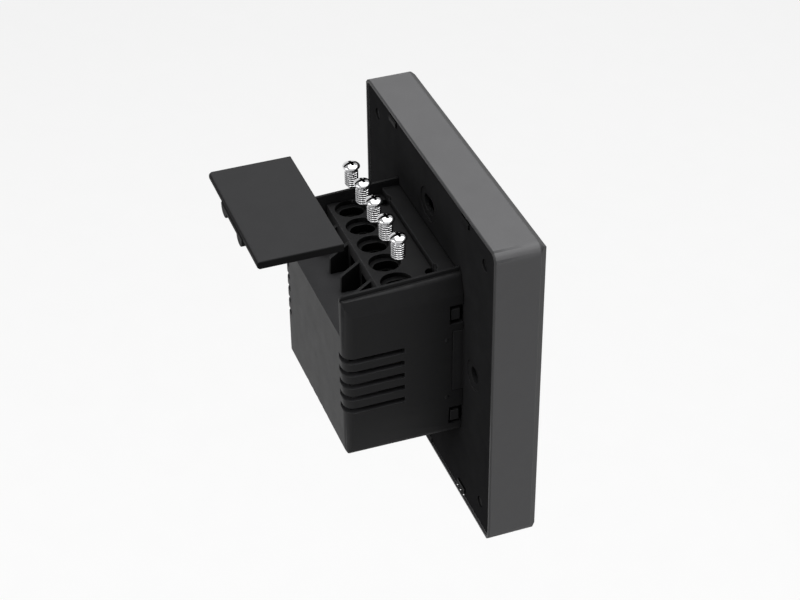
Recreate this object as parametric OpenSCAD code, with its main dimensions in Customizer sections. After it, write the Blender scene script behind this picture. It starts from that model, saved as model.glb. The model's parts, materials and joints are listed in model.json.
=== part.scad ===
// Smart wall touch panel: a square glass-fronted panel that plugs onto a wall base. The base has a
// rear housing with a power board, relays and five screw terminals under a lift-off cover.
// The wall plane is y = 0, the glass faces -Y, the rear housing stands towards +Y, and +Z is up.
// The terminal cover and the five terminal screws are drawn lifted off, as they are shown for wiring.

/* [Front panel] */
// Width and height of the front panel
panel_w = 86; // [84:0.5:92]
// Depth from the wall plane to the face of the glass
panel_t = 12.9; // [12.6:0.1:15]
// Corner radius of the panel outline
panel_r = 2.75; // [2:0.25:4]
// Front chamfer, measured along the depth
chamfer_y = 1.9; // [1:0.1:2.4]
// Front chamfer, measured across the face
chamfer_x = 1.45; // [0.8:0.05:1.6]
// Small chamfer round the rear rim
rim_chamfer = 0.3; // [0.1:0.1:0.5]
// Width of the rear rim round the back plate
rim_w = 0.9; // [0.8:0.1:1.4]
// Width of the flat metal lip between chamfer and glass
lip_w = 0.65; // [0.4:0.05:1]
// Wall of the frame between lip and rear rim
frame_wall = 1.8; // [1.6:0.1:2]
// Width of the inner ledge that the glass is bonded to
ledge_w = 2.6; // [2:0.1:2.8]
// Thickness of the inner ledge
ledge_t = 1.0; // [0.8:0.1:1.2]
// Width of the pry slot in the bottom rim
pry_w = 7; // [6:1:16]
// Number of sound slots in the bottom edge
sound_slots = 6; // [3:1:8]
// Spacing of the sound slots
sound_pitch = 2.2; // [2:0.1:3]
// Number of small slots through the bottom rim
rim_slots = 3; // [1:1:5]
// Spacing of the rim slots
rim_slot_pitch = 2.05; // [1.8:0.05:3]
// Distance of the rim slots from the upright centre line
rim_slot_at = 22.8; // [12:0.2:32]

/* [Glass and display] */
// Thickness of the cover glass
glass_t = 1.6; // [1:0.1:1.8]
// Thickness of the bonding tape under the glass
tape_t = 0.25; // [0.15:0.05:0.4]
// Width of the border between the panel's edge and the display
display_border = 5.6; // [5.2:0.1:8]
// Thickness of the liquid crystal cell
cell_t = 0.95; // [0.7:0.05:1.1]
// Thickness of the backlight
backlight_t = 1.9; // [1.4:0.1:2.1]

/* [Chassis and main board] */
// Thickness of the chassis plate
web_t = 1.0; // [0.8:0.1:1.2]
// Height of the standoffs under the main board
standoff_h = 0.6; // [0.4:0.1:0.8]
// Gap between the main board and the locating sockets at its corners
board_gap = 0.7; // [0.2:0.1:2.2]
// Thickness of the main board
board_t = 1.0; // [0.8:0.1:1.2]
// Distance of the main board screws from the board's edges
board_screw_inset = 2.9; // [2.4:0.1:4.5]
// Distance of the chassis screws from the centre lines
chassis_screw_at = 22; // [16:1:30]
// Distance of the locating pins from the inner walls of the frame
pin_inset = 5.5; // [4.2:0.1:5.8]
// Radius of the locating pin sockets in the back plate
socket_r = 1.5; // [1.2:0.1:1.6]
// Distance of the snap hooks from the upright centre line
hook_at = 24; // [14:1:28]
// Width of a snap hook
hook_w = 4.6; // [3:0.2:6]

/* [Back plate] */
// Depth of the plate's rear face below the rim
plate_recess = 0.5; // [0.4:0.1:0.8]
// Thickness of the back plate
plate_t = 1.6; // [1.4:0.1:1.8]
// Spacing of opposite wall screws
screw_spacing = 60.3; // [58:0.1:62]
// Radius of the wall screw holes
screw_hole_r = 2.1; // [1.8:0.05:2.3]
// Length of the upper and lower screw slots
slot_len = 6.6; // [5:0.2:9]
// Radius of the shallow ring round a wall screw hole
screw_ring_r = 3.9; // [3:0.1:4.5]

/* [Rear housing] */
// Half the width of the rear housing
house_half = 23.7; // [23.5:0.1:24.5]
// Depth of the rear housing behind the wall plane
house_d = 29.45; // [29.2:0.1:34]
// Height of the housing's underside below the centre
house_low = 21.7; // [21.4:0.1:24]
// Wall thickness
wall = 1.8; // [1.5:0.1:1.9]
// Radius of the upright rear corners
corner_r = 2.75; // [1.5:0.25:3.5]
// Height of the shelf behind the terminals
shelf_z = 13.2; // [13:0.1:13.6]
// Height at which the side walls start to lean in
shoulder_z = 19.6; // [18:0.1:20.5]
// Height of the side rims at the wall plane
rim_z = 25.75; // [25.2:0.05:26.5]
// Fall of the side rims from front to rear
rim_fall = 1.2; // [0.4:0.1:1.4]
// Height of the cross bar in front of the terminals
bar_z = 23.6; // [23:0.1:24.2]
// Depth of the cross bar behind the wall plane
bar_y = 3.9; // [3.7:0.1:4]

/* [Vents] */
// Number of vent slots on each side and in the underside
vents = 5; // [2:1:6]
// Spacing of the vent slots
vent_pitch = 3.7; // [3:0.1:4]
// Height of a vent slot
vent_h = 1.5; // [1:0.1:2]
// Height of the top vent slot's upper edge
vent_top = 7.65; // [6:0.05:9]
// Depth at which the vent slots start
vent_y = 14.4; // [12:0.2:20]
// Length by which the side vents run on along the rear face
vent_turn = 4.2; // [3:0.1:6]

/* [Terminals] */
// Depth of the screw axes behind the wall plane
screw_y = 13.2; // [13:0.1:13.5]
// Height of the terminal deck
deck_z = 22.2; // [22:0.1:22.4]
// Depth of the deck's rear edge
deck_y = 18.7; // [18.5:0.1:19.2]
// Depth of the rear ends of the partitions
fin_y = 23.5; // [22.5:0.1:23.8]
// Height of the partitions at their rear ends
fin_low = 17.4; // [16:0.2:19]
// Thickness of the partitions
fin_t = 1.0; // [0.8:0.1:1.2]
// Wall between the clamp chambers
chamber_wall = 1.3; // [1:0.1:1.5]
// Radius of the screwdriver wells
well_r = 3.6; // [3.2:0.1:3.8]
// Depth of the screwdriver wells
well_deep = 1.4; // [1:0.1:1.8]
// Width of the slot through the floor of a well
slot_w = 4.8; // [4.7:0.1:5.2]

/* [Terminal screws] */
// Radius of the screw head
head_r = 2.2; // [2:0.05:2.25]
// Height of the screw head
head_h = 1.7; // [1.4:0.1:1.8]
// Outer radius of the screw thread
thread_r = 1.72; // [1.5:0.02:1.8]
// Spacing of the thread crests
thread_pitch = 0.6; // [0.45:0.05:0.8]
// Overall length of a terminal screw
screw_len = 6.8; // [6:0.1:6.8]
// Height of the screw heads when lifted out
head_top = 35.5; // [33:0.5:38]

/* [Terminal cover] */
// Thickness of the cover
cover_t = 2.1; // [1.8:0.1:2.2]
// Length of the cover along the depth
cover_len = 20.55; // [20.4:0.05:20.6]
// Radius of the cover's rounded rear edge
cover_r = 0.95; // [0.6:0.05:1]
// Depth of the lifted cover's front edge
cover_y = 27.45; // [27:0.5:36]
// Height of the lifted cover's top face
cover_top = 38.5; // [37:0.5:44]
// Distance of the rear tabs from the middle
tab_at = 6.35; // [5:0.05:10]
// Width of a rear tab
tab_w = 4.4; // [4:0.2:8]
// Drop of the rear tabs below the cover plate
tab_drop = 2.0; // [1:0.1:2.4]

/* [Power board] */
// Thickness of the power board
pcb_t = 1.6; // [1:0.1:1.8]
// Depth of the power board's front face
pcb_y = 1.4; // [1.2:0.1:1.5]
// Width of a relay
relay_w = 12.4; // [10:0.2:12.8]
// Height of a relay above the board
relay_h = 15.3; // [10:0.1:20]
// Number of pins in each row of the board connector
pins = 5; // [2:1:6]
// Spacing of the connector pins
pin_pitch = 2.54; // [2:0.01:2.54]
// Height of the connector's centre
connector_z = -8; // [-11:0.5:-5]

/* [Hidden] */
$fn = 48;
terminals = 5;

// Shared clearances, the depth that joined shapes sink into each other, and cutting allowance
fit = 0.15;
slip = 0.1;
root = 0.2;
cut = 1;

// Front unit, from the glass backwards
half_w = panel_w / 2;
glass_half = half_w - chamfer_x - lip_w - fit;
glass_r = 1.05;
cavity_half = half_w - frame_wall;
cavity_r = 1;
window_half = cavity_half - ledge_w;
window_r = 0.8;
display_half = half_w - display_border;
y_front = -panel_t;
y_glass = y_front + glass_t;
y_ledge = y_glass + tape_t;
y_ledge_back = y_ledge + ledge_t;
bond = 0.05;
y_cell = y_glass + bond;
y_light = y_cell + cell_t + bond;
y_web = y_light + backlight_t + slip;
y_web_back = y_web + web_t;
y_board = y_web_back + standoff_h;
y_board_back = y_board + board_t;
y_plate_back = -plate_recess;
y_plate = y_plate_back - plate_t;
recess_half = half_w - rim_w;
plate_half = recess_half - fit;
recess_r = max(panel_r - rim_w, 0.5);
recess_depth = plate_recess + plate_t + slip;
rim_slot_w = 1.1;
rim_slot_y = [-1.5, -0.35];
rim_notch = 0.5;
rim_notch_deep = 0.7;

// Screw blocks between display and frame wall
block_w = cavity_half - display_half - 2 * fit;
block_x = cavity_half - block_w / 2;
block_len = 5;
screw_hole_gap = 0.2;
run_gap = 0.05;
small_shank_r = 0.7;
small_head_r = 1.3;
small_head_h = 0.9;
small_screw_len = 2.4;

// Snap hooks and their windows
hook_t = 1.0;
hook_z = cavity_half - 1.3;
hook_barb = 0.5;
hook_gap = 0.25;

// Locating pins, standoffs and ribs of the chassis
pin_at = cavity_half - pin_inset;
pin_gap = 0.2;
pin_end = y_plate_back - 0.4;
standoff_r = 2;
rib_half = 14;
rib_at = 20;
rib_t = 1;

// Parts on the main board, placed from its edges
board_half = pin_at - socket_r - board_gap;
board_screw_at = board_half - board_screw_inset;
part_inset = 7.5;
can_w = 18;
can_h = 1.7;
can_t = 0.3;
module_w = 18;
module_d = 14;
module_t = 0.8;
module_can = 12;
module_can_h = 1.3;
speaker_x = 18;
speaker_w = 15;
speaker_d = 11;
speaker_t = 2.4;
speaker_r = 3.4;
speaker_inset = 1;
sound_w = 1;
mic_w = 3.8;
mic_d = 3;
mic_t = 1.1;
mic_inset = 1.5;

// Flat cable from the display, through the chassis, to its connector
flex_w = 18;
flex_t = 0.3;
flex_z = -display_half + 1.2;
flex_lift = 0.3;
flex_end = -board_half + 0.6;
flex_slot = [-0.8, 1.1];
connector_d = 3;
connector_t = 1.1;

// Rear housing
inner_half = house_half - wall;
bay_half = house_half - 3.3;
block_half = bay_half - slip;
y_house = y_plate_back;
draft = 0.8;
lower_shoulder = -13.2;
lean_in = 1.6;
shoulder_top = shoulder_z + 3.7;
rim_out = bay_half + 0.7;
lip_h = 1.15;
lip_root = 0.2;
lower_lean = 0.75;
lower_corner = 0.9;
roof_z = shelf_z - wall;
cavity_low = -house_low + wall;
cavity_top = bar_z - 4.1;
rear_top_r = 1.2;
rear_low_r = 1.2;
vent_in = 0.4;
low_vent_rise = 1.1;
rail_w = 1.5;
rail_t = 1.2;

// Snap clips between housing and back plate
clip_h = 5.4;
clip_zs = [shelf_z + 0.8, -house_low + 5];
clip_y = 2.9;
clip_gap = 0.35;
tongue_t = 1.2;
seam_y = 2.2;
seam_z = [clip_zs[1] + clip_h * 1.5, clip_zs[0] - clip_h * 0.5 - 2.1];
pips = [[3.65, 7.1], [3.6, -10.3]];
pip_r = 0.45;
pip_h = 0.15;
pip_root = 0.5;

// Terminal block: equal cells across the bay, the outer ones run a little past its sides
end_lap = 0.35;
pitch = 2 * (bay_half + end_lap) / terminals;
y_block = bar_y + slip;
block_low = roof_z;
fin_top_y = deck_y - 1.6;
well_y = screw_y + 0.5;
well_len = 0.6;
slot_len_y = 1.5;
well_floor = deck_z - well_deep;
chamber_half = (pitch - chamber_wall) / 2;
chamber_y0 = screw_y - 3.5;
chamber_y1 = deck_y - 1.3;
chamber_top = deck_z - 3.4;
entry_half = chamber_half - 0.8;
entry_top = chamber_top - 0.2;
entry_low = shelf_z + 0.7;
relief_half = chamber_half - 0.3;
dimple_r = 1.5;
dimple_x = (terminals - 1) / 2 * pitch - 0.7;
dimple_y = bar_y + 0.8;

// Clamps and contacts
clamp_half = chamber_half - 0.35;
clamp_y = 2.9;
clamp_wall = 0.9;
clamp_low = shelf_z + slip;
clamp_top = chamber_top - slip;
contact_half = 1.5;
contact_t = 0.8;
contact_z = clamp_low + clamp_wall;
contact_front = pcb_y - 0.6;
contact_short = 0.4;

// Terminal screws
neck_r = 1.3;
neck_len = 0.5;
core_r = thread_r - 0.27;
recess_deep = 0.75;
slot_turn = 98;

// Terminal cover
cover_half = bay_half - 2 * fit;
cover_low = cover_top - cover_t;
cover_back = cover_y + cover_len;
tab_t = 0.9;
tab_proud = 0.3;
tab_root = 0.9;
tab_web = 0.2;
tab_r = 2;
peg_r = 0.45;
peg_drop = 0.2;
peg_in = 0.85;

// Power board
pcb_back = pcb_y + pcb_t;
pcb_half = inner_half - 1.3;
pcb_low = cavity_low + 1.2;
pcb_top = cavity_top - 1.2;
opening_half = pcb_half + 0.3;
opening_low = pcb_low - 0.3;
opening_top = pcb_top + 0.3;
lid_half = opening_half + 0.9;
lid_low = opening_low - 0.9;
lid_top = opening_top + 0.9;
lid_t = 1.0;
post_x = pcb_half - 2.4;
post_z = pcb_low + 2.6;
post_r = 1.9;
post_bore = 3;
header_h = 2.4;
pin_side = 0.64;
header_w = pins * pin_pitch;
header_t = 2 * pin_pitch;
y_header = pcb_y - header_h;
y_pin_tip = y_board_back + 0.4;
relay_pitch = relay_w + 0.9;
relay_low = 0.4;
relay_top = roof_z - 1.0;

// Transformer: ferrite core and the winding round its middle leg
core_w = 12.4;
core_h = 12;
core_leg = 2.4;
core_half = 2.6;
core_x = -10.2;
core_z = -7.9;
core_y = pcb_back + 1.2;
leg_r = 1.6;
coil_r = 5.8;
coil_half = 3.7;
coil_pin_r = 0.4;
coil_pin_x = 2.6;

// Other parts on the power board, from left to right
bulk_r = 4;
bulk_h = 15;
bulk_x = core_x + core_w / 2 + bulk_r + 1.6;
bulk_z = -5.4;
output_r = 3.15;
output_h = 11;
output_z = -14.6;
vent_cut_t = 0.4;
vent_cut_deep = 0.3;
choke_ring_r = 3.2;
choke_wire_r = 1.9;
choke_x = bulk_x + bulk_r + choke_ring_r + choke_wire_r + 0.2;
choke_z = -5;
choke_lift = 0.3;
fuse_r = 2;
fuse_len = 6.4;
fuse_x = bulk_x + output_r + 2.45;
varistor_r = 3.7;
varistor_t = 2.6;
varistor_x = choke_x + choke_ring_r + choke_wire_r + 0.7;
varistor_z = -5.6;

function mirrored(p) = concat(p, [for (i = [len(p) - 1:-1:0]) [-p[i][0], p[i][1]]]);
function arc(cx, cy, r, a0, a1, n = 6) =
    [for (i = [0:n]) let (a = a0 + (a1 - a0) * i / n) [cx + r * cos(a), cy + r * sin(a)]];
function terminal_x(k) = (k - (terminals + 1) / 2) * pitch;
function swapped(p) = [for (q = p) [q[1], q[0]]];

// A box between two bounds on each axis
module span(x, y, z) {
    translate([x[0], y[0], z[0]]) cube([x[1] - x[0], y[1] - y[0], z[1] - z[0]]);
}

// The same box on both sides of the upright centre plane
module span_pair(x, y, z) {
    span(x, y, z);
    mirror([1, 0, 0]) span(x, y, z);
}

// A rod along the depth, and a rod standing up
module rod_y(x, z, r, y0, y1) {
    translate([x, y1, z]) rotate([90, 0, 0]) cylinder(r = r, h = y1 - y0);
}
module rod_z(x, y, r, z0, z1) {
    translate([x, y, z0]) cylinder(r = r, h = z1 - z0);
}

// Outlines drawn in a side, front or top view and pushed along the third axis
module from_side(outline, x0, x1) {
    translate([x0, 0, 0]) rotate([90, 0, 90]) linear_extrude(x1 - x0) polygon(outline);
}
module from_front(outline, y0, y1) {
    translate([0, y1, 0]) rotate([90, 0, 0]) linear_extrude(y1 - y0) polygon(outline);
}
module from_top(outline, z0, z1) {
    translate([0, 0, z0]) linear_extrude(z1 - z0) polygon(outline);
}

// A square plate with round corners, facing the wall
module round_plate(w, r, y0, y1) {
    translate([0, y1, 0]) rotate([90, 0, 0]) linear_extrude(y1 - y0) {
        square([w - 2 * r, w], center = true);
        square([w, w - 2 * r], center = true);
        for (x = [-1, 1], z = [-1, 1]) translate([x * (w / 2 - r), z * (w / 2 - r)]) circle(r);
    }
}

// A slot with round ends, long in X, cut along the depth
module slot_x(x, z, r, length, y0, y1) {
    for (s = [-1, 1]) rod_y(x + s * (length / 2 - r), z, r, y0, y1);
    span([x - length / 2 + r, x + length / 2 - r], [y0, y1], [z - r, z + r]);
}

// A slot with round ends, long in Y, cut downwards
module slot_y(x, y, r, length, z0, z1) {
    for (s = [-1, 1]) rod_z(x, y + s * length / 2, r, z0, z1);
    span([x - r, x + r], [y - length / 2, y + length / 2], [z0, z1]);
}

// Outer form of the panel frame, with its front chamfer and its rear edge
module panel_form() {
    outline = [[0, -half_w + rim_chamfer], [-rim_chamfer, -half_w], [y_front + chamfer_y, -half_w],
        [y_front, -half_w + chamfer_x], [y_front, half_w - chamfer_x], [y_front + chamfer_y, half_w],
        [-rim_chamfer, half_w], [0, half_w - rim_chamfer]];
    intersection() {
        round_plate(panel_w, panel_r, y_front, 0);
        from_side(outline, -half_w, half_w);
        from_top(swapped(outline), -half_w, half_w);
    }
}

// Metal frame that holds the glass, the display and the chassis
module front_frame() color("#4a4a4c") {
    difference() {
        panel_form();
        round_plate(2 * (glass_half + fit), glass_r + fit, y_front - cut, y_ledge);
        round_plate(2 * window_half, window_r, y_front - cut, y_ledge_back + cut);
        round_plate(2 * cavity_half, cavity_r, y_ledge_back, cut);
        round_plate(2 * recess_half, recess_r, -recess_depth, cut);
        span([-pry_w / 2, pry_w / 2], [-recess_depth, cut], [-half_w - cut, -recess_half + cut]);
        for (i = [0:sound_slots - 1])
            translate([speaker_x + (i - (sound_slots - 1) / 2) * sound_pitch, 0, 0])
                span([-sound_w / 2, sound_w / 2], [y_board_back, y_board_back + speaker_t],
                    [-half_w - cut, -cavity_half + cut]);
        each_rim_slot() span([-rim_slot_w / 2, rim_slot_w / 2], rim_slot_y,
            [-half_w - cut, -recess_half + cut]);
    }
    for (x = [-1, 1], z = [-1, 1]) screw_block(x, z);
}

// Positions of the small slots through the bottom rim
module each_rim_slot() {
    for (i = [0:rim_slots - 1])
        translate([-rim_slot_at + (i - (rim_slots - 1) / 2) * rim_slot_pitch, 0, 0]) children();
}

// Block on the inside of the frame that takes a chassis screw
module screw_block(side, level) {
    x = side * block_x;
    z = level * chassis_screw_at;
    difference() {
        span([x - block_w / 2 - (side < 0 ? root : 0), x + block_w / 2 + (side > 0 ? root : 0)],
            [y_ledge_back - root, y_web - slip], [z - block_len / 2, z + block_len / 2]);
        rod_y(x, z, small_shank_r + run_gap, y_ledge_back + 0.2, y_web + cut);
    }
}

// Touch glass, flush with the frame's lip
module cover_glass() color("#0b0b0d") round_plate(2 * glass_half, glass_r, y_front, y_glass);

// Bonding tape between glass and ledge
module glass_tape() color("#222222") difference() {
    round_plate(2 * (glass_half - slip), glass_r, y_glass, y_ledge);
    round_plate(2 * (window_half + slip), window_r, y_glass - cut, y_ledge + cut);
}

// Liquid crystal cell behind the glass
module display_cell() color("#101418") span([-display_half, display_half], [y_cell, y_cell + cell_t],
    [-display_half, display_half]);

// Backlight behind the cell
module backlight() color("#d8dadc") span([-display_half, display_half], [y_light, y_light + backlight_t],
    [-display_half, display_half]);

// Chassis plate with standoffs, locating pins and snap hooks
module mid_chassis() color("#2b2b2d") {
    difference() {
        union() {
            round_plate(2 * (cavity_half - fit), cavity_r, y_web, y_web_back);
            for (x = [-1, 1], z = [-1, 1])
                rod_y(x * board_screw_at, z * board_screw_at, standoff_r, y_web_back - root, y_board);
            for (z = [-rib_at, rib_at]) span([-rib_half, rib_half], [y_web_back - root, y_board - slip],
                [z - rib_t / 2, z + rib_t / 2]);
        }
        for (x = [-1, 1], z = [-1, 1]) {
            rod_y(x * block_x, z * chassis_screw_at, small_shank_r + screw_hole_gap,
                y_web - cut, y_web_back + cut);
            rod_y(x * board_screw_at, z * board_screw_at, small_shank_r + run_gap,
                y_web - cut, y_board + cut);
        }
        span([-flex_w / 2 - 0.5, flex_w / 2 + 0.5], [y_web - cut, y_web_back + cut],
            [flex_z + flex_slot[0], flex_z + flex_slot[1]]);
    }
    for (x = [-1, 1], z = [-1, 1]) {
        rod_y(x * pin_at, z * pin_at, socket_r - pin_gap, y_web_back - root, pin_end);
        snap_hook(x * hook_at, z);
    }
}

// Hook that reaches through a window of the back plate
module snap_hook(x, level) {
    outer = level * (hook_z + hook_t / 2);
    inner = level * (hook_z - hook_t / 2);
    tip = level * (hook_z + hook_t / 2 + hook_barb);
    from_side([[y_web_back - root, inner], [y_plate_back + 0.35, inner], [y_plate_back + 0.35, outer],
        [y_plate_back + 0.1, tip], [y_plate_back - 0.25, tip], [y_plate_back - 0.6, outer],
        [y_web_back - root, outer]], x - hook_w / 2, x + hook_w / 2);
}

// A small screw with a flat head, pointing to the front
module small_screw(x, z, y_head) {
    rod_y(x, z, small_head_r, y_head, y_head + small_head_h);
    rod_y(x, z, small_shank_r, y_head - small_screw_len, y_head);
}

// Screws that hold the chassis to the frame
module chassis_screws() color("silver")
    for (x = [-1, 1], z = [-1, 1]) small_screw(x * block_x, z * chassis_screw_at, y_web_back);

// Main board of the touch panel
module main_board() color("#1d4d33") difference() {
    span([-board_half, board_half], [y_board, y_board_back], [-board_half, board_half]);
    for (x = [-1, 1], z = [-1, 1]) rod_y(x * board_screw_at, z * board_screw_at,
        small_shank_r + screw_hole_gap, y_board - cut, y_board_back + cut);
}

// Screws that hold the main board to the chassis
module board_screws() color("silver")
    for (x = [-1, 1], z = [-1, 1]) difference() {
        small_screw(x * board_screw_at, z * board_screw_at, y_board_back);
        span([x * board_screw_at - 1, x * board_screw_at + 1], [y_board_back + small_head_h - 0.35, 0],
            [z * board_screw_at - 0.2, z * board_screw_at + 0.2]);
    }

// Metal can over the processor, open towards the board
module shield_can() color("#b9bcc0")
    translate([-board_half + part_inset, y_board_back, board_half - part_inset]) difference() {
        span([0, can_w], [0, can_h], [-can_w, 0]);
        span([can_t, can_w - can_t], [-cut, can_h - can_t], [-can_w + can_t, -can_t]);
    }

// Wireless module with its own small can
module wireless_module() color("#2e6b57")
    translate([board_half - part_inset - module_w, y_board_back, board_half - part_inset - 2]) {
        span([0, module_w], [0, module_t], [-module_d, 0]);
        span([1, 1 + module_can], [module_t, module_t + module_can_h], [-1 - module_can, -1]);
    }

// Loudspeaker box behind the sound slots
module loudspeaker() color("#19191b") translate([speaker_x, y_board_back, -board_half + speaker_inset])
    difference() {
        span([-speaker_w / 2, speaker_w / 2], [0, speaker_t], [0, speaker_d]);
        rod_y(0, speaker_d / 2, speaker_r, speaker_t - 0.4, speaker_t + cut);
    }

// Microphone
module microphone() color("#c9a54a")
    translate([-board_half + part_inset, y_board_back, -board_half + mic_inset])
        span([0, mic_w], [0, mic_t], [0, mic_d]);

// Flat cable from the display, through the chassis, to the main board
module display_flex() color("#b5651d") {
    y0 = y_light + backlight_t;
    y1 = y_board_back + flex_lift;
    y2 = y1 + flex_t;
    from_side([[y0, flex_z], [y1, flex_z], [y1, flex_end], [y2, flex_end], [y2, flex_z - flex_t],
        [y0, flex_z - flex_t]], -flex_w / 2, flex_w / 2);
}

// Connector for the flat cable
module flex_connector() color("#e6e0d0") span([-flex_w / 2 - 1, flex_w / 2 + 1],
    [y_board_back, y_board_back + connector_t], [flex_end, flex_end + connector_d]);

// Positions of the connector pins
module each_pin() {
    for (i = [0:pins - 1], j = [-1, 1])
        translate([(i - (pins - 1) / 2) * pin_pitch, 0, connector_z + j * pin_pitch / 2]) children();
}

// Socket on the main board that plugs onto the base
module board_socket() color("#141414") difference() {
    span([-header_w / 2, header_w / 2], [y_board_back, y_header - fit],
        [connector_z - header_t / 2, connector_z + header_t / 2]);
    each_pin() span([-pin_side / 2 - slip, pin_side / 2 + slip], [y_board_back + 0.2, y_header + cut],
        [-pin_side / 2 - slip, pin_side / 2 + slip]);
}

// Back plate that screws to the wall box, with the tongues that carry the rear housing
module back_plate() color("#161617") {
    difference() {
        union() {
            round_plate(2 * plate_half, recess_r, y_plate, y_plate_back);
            span([-pry_w / 2 + fit, pry_w / 2 - fit], [y_plate, -slip], [-half_w, -plate_half + 1.2]);
        }
        span([-opening_half, opening_half], [y_plate - cut, cut], [opening_low, opening_top]);
        span([-lid_half, lid_half], [y_plate - cut, y_plate + lid_t], [lid_low, lid_top]);
        for (x = [-1, 1]) {
            rod_y(x * screw_spacing / 2, 0, screw_hole_r, y_plate - cut, cut);
            rod_y(x * screw_spacing / 2, 0, screw_ring_r, y_plate_back - 0.3, cut);
        }
        for (z = [-1, 1]) {
            slot_x(0, z * screw_spacing / 2, screw_hole_r, slot_len, y_plate - cut, cut);
            slot_x(0, z * screw_spacing / 2, screw_ring_r, slot_len + 3.6, y_plate_back - 0.3, cut);
        }
        each_rim_slot() span([-rim_slot_w / 2, rim_slot_w / 2], [y_plate_back - rim_notch_deep, cut],
            [-half_w - cut, -plate_half + rim_notch]);
        for (x = [-1, 1], z = [-1, 1]) {
            rod_y(x * pin_at, z * pin_at, socket_r, y_plate - cut, cut);
            hook_window(x * hook_at, z);
        }
    }
    for (side = [0, 1]) mirror([side, 0, 0]) {
        span([inner_half, house_half], [y_plate_back - root, seam_y], seam_z);
        for (z = clip_zs) snap_tongue(z);
    }
}

// Window in the back plate for a snap hook
module hook_window(x, level) {
    z0 = hook_z - hook_t / 2 - hook_gap;
    z1 = hook_z + hook_t / 2 + hook_barb + hook_gap;
    span([x - hook_w / 2 - hook_gap, x + hook_w / 2 + hook_gap], [y_plate - cut, cut],
        level > 0 ? [z0, z1] : [-z1, -z0]);
}

// Tongue with a barb that fills a window of the rear housing
module snap_tongue(z) {
    h = clip_h / 2 - clip_gap;
    x = inner_half - slip;
    span([x - tongue_t, x], [y_plate_back - root, clip_y - 0.2], [z - h, z + h]);
    from_front([[x - root, z - h], [x, z - h], [house_half - 0.25, z - h + 0.9],
        [house_half - 0.25, z + h - 0.9], [x, z + h], [x - root, z + h]],
        y_plate_back + 0.9, clip_y - 0.35);
}

// Outer form of the rear housing
module house_form() {
    front = mirrored([[house_half - lower_lean - lower_corner, -house_low - draft],
        [house_half - lower_lean, -house_low + lower_corner], [house_half, lower_shoulder],
        [house_half, shoulder_z], [house_half - lean_in, shoulder_top], [rim_out + lip_root, rim_z + 0.2]]);
    side = concat([[y_house, rim_z], [y_house, -house_low - draft]],
        arc(house_d - rear_low_r, -house_low + rear_low_r, rear_low_r, -90, 0),
        arc(house_d - rear_top_r, rim_z - rim_fall - rear_top_r, rear_top_r, 0, 90));
    top = mirrored(concat([[house_half, y_house]],
        arc(house_half - corner_r, house_d - corner_r, corner_r, 0, 90)));
    intersection() {
        from_front(front, y_house, house_d + cut);
        from_side(side, -house_half - cut, house_half + cut);
        from_top(top, -house_low - draft - cut, rim_z + cut);
    }
}

// Step below the rim on both sides, which leaves a thin upright lip and falls to the rear with the rim
module lip_cut() {
    foot = rim_z - lip_h;
    step = [[y_house - cut, foot], [y_house, foot], [house_d - rear_top_r, foot - rim_fall],
        [house_d + cut, foot - rim_fall], [house_d + cut, rim_z + cut], [y_house - cut, rim_z + cut]];
    for (side = [0, 1]) mirror([side, 0, 0]) from_side(step, rim_out, house_half + cut);
}

// Rear housing with its vents, shelf and terminal bay
module rear_housing() color("#2a2a2c") {
    difference() {
        house_form();
        lip_cut();
        span([-inner_half, inner_half], [y_house - cut, house_d - wall], [cavity_low, roof_z]);
        span([-inner_half, inner_half], [y_house - cut, bar_y + slip], [roof_z - cut, cavity_top]);
        span([-bay_half, bay_half], [bar_y, deck_y + slip], [roof_z - cut, rim_z + cut]);
        span([-bay_half, bay_half], [deck_y, house_d + cut], [shelf_z, rim_z + cut]);
        span([-bay_half, bay_half], [y_house - cut, bar_y + cut], [bar_z, rim_z + cut]);
        for (x = [-1, 1]) rod_z(x * dimple_x, dimple_y, dimple_r, well_floor, bar_z + cut);
        for (i = [0:vents - 1]) {
            span_pair([inner_half - vent_in, house_half + cut], [vent_y, house_d + cut],
                [vent_top - vent_h - i * vent_pitch, vent_top - i * vent_pitch]);
            span_pair([house_half - vent_turn, house_half + cut], [house_d - wall - cut, house_d + cut],
                [vent_top - vent_h - i * vent_pitch, vent_top - i * vent_pitch]);
            low_vent((i - (vents - 1) / 2) * vent_pitch);
        }
        span_pair([inner_half - cut, house_half + cut], [y_house - cut, seam_y + slip],
            [seam_z[0] - slip, seam_z[1] + slip]);
        for (z = clip_zs) span_pair([inner_half - cut, house_half + cut], [y_house - cut, clip_y],
            [z - clip_h / 2, z + clip_h / 2]);
    }
    span_pair([inner_half - rail_w, inner_half + root], [bar_y + 0.6, deck_y],
        [roof_z - slip - rail_t, roof_z - slip]);
    for (x = [-1, 1]) {
        board_post(x);
        for (p = pips) translate([x * (house_half + (pip_h - pip_root) / 2), p[0], p[1]]) rotate([0, 90, 0])
            cylinder(r = pip_r, h = pip_h + pip_root, center = true);
    }
}

// Vent slot in the underside, which just turns the lower rear edge
module low_vent(x) {
    low = -house_low - draft - cut;
    span([x - vent_h / 2, x + vent_h / 2], [vent_y, house_d - wall], [low, cavity_low + vent_in]);
    span([x - vent_h / 2, x + vent_h / 2], [house_d - wall - cut, house_d + cut],
        [low, -house_low + low_vent_rise]);
}

// Post on the rear wall that takes a power board screw
module board_post(side) {
    difference() {
        rod_y(side * post_x, post_z, post_r, pcb_back, house_d - wall + 0.2);
        rod_y(side * post_x, post_z, small_shank_r + run_gap, pcb_back - cut, pcb_back + post_bore);
    }
}

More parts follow.
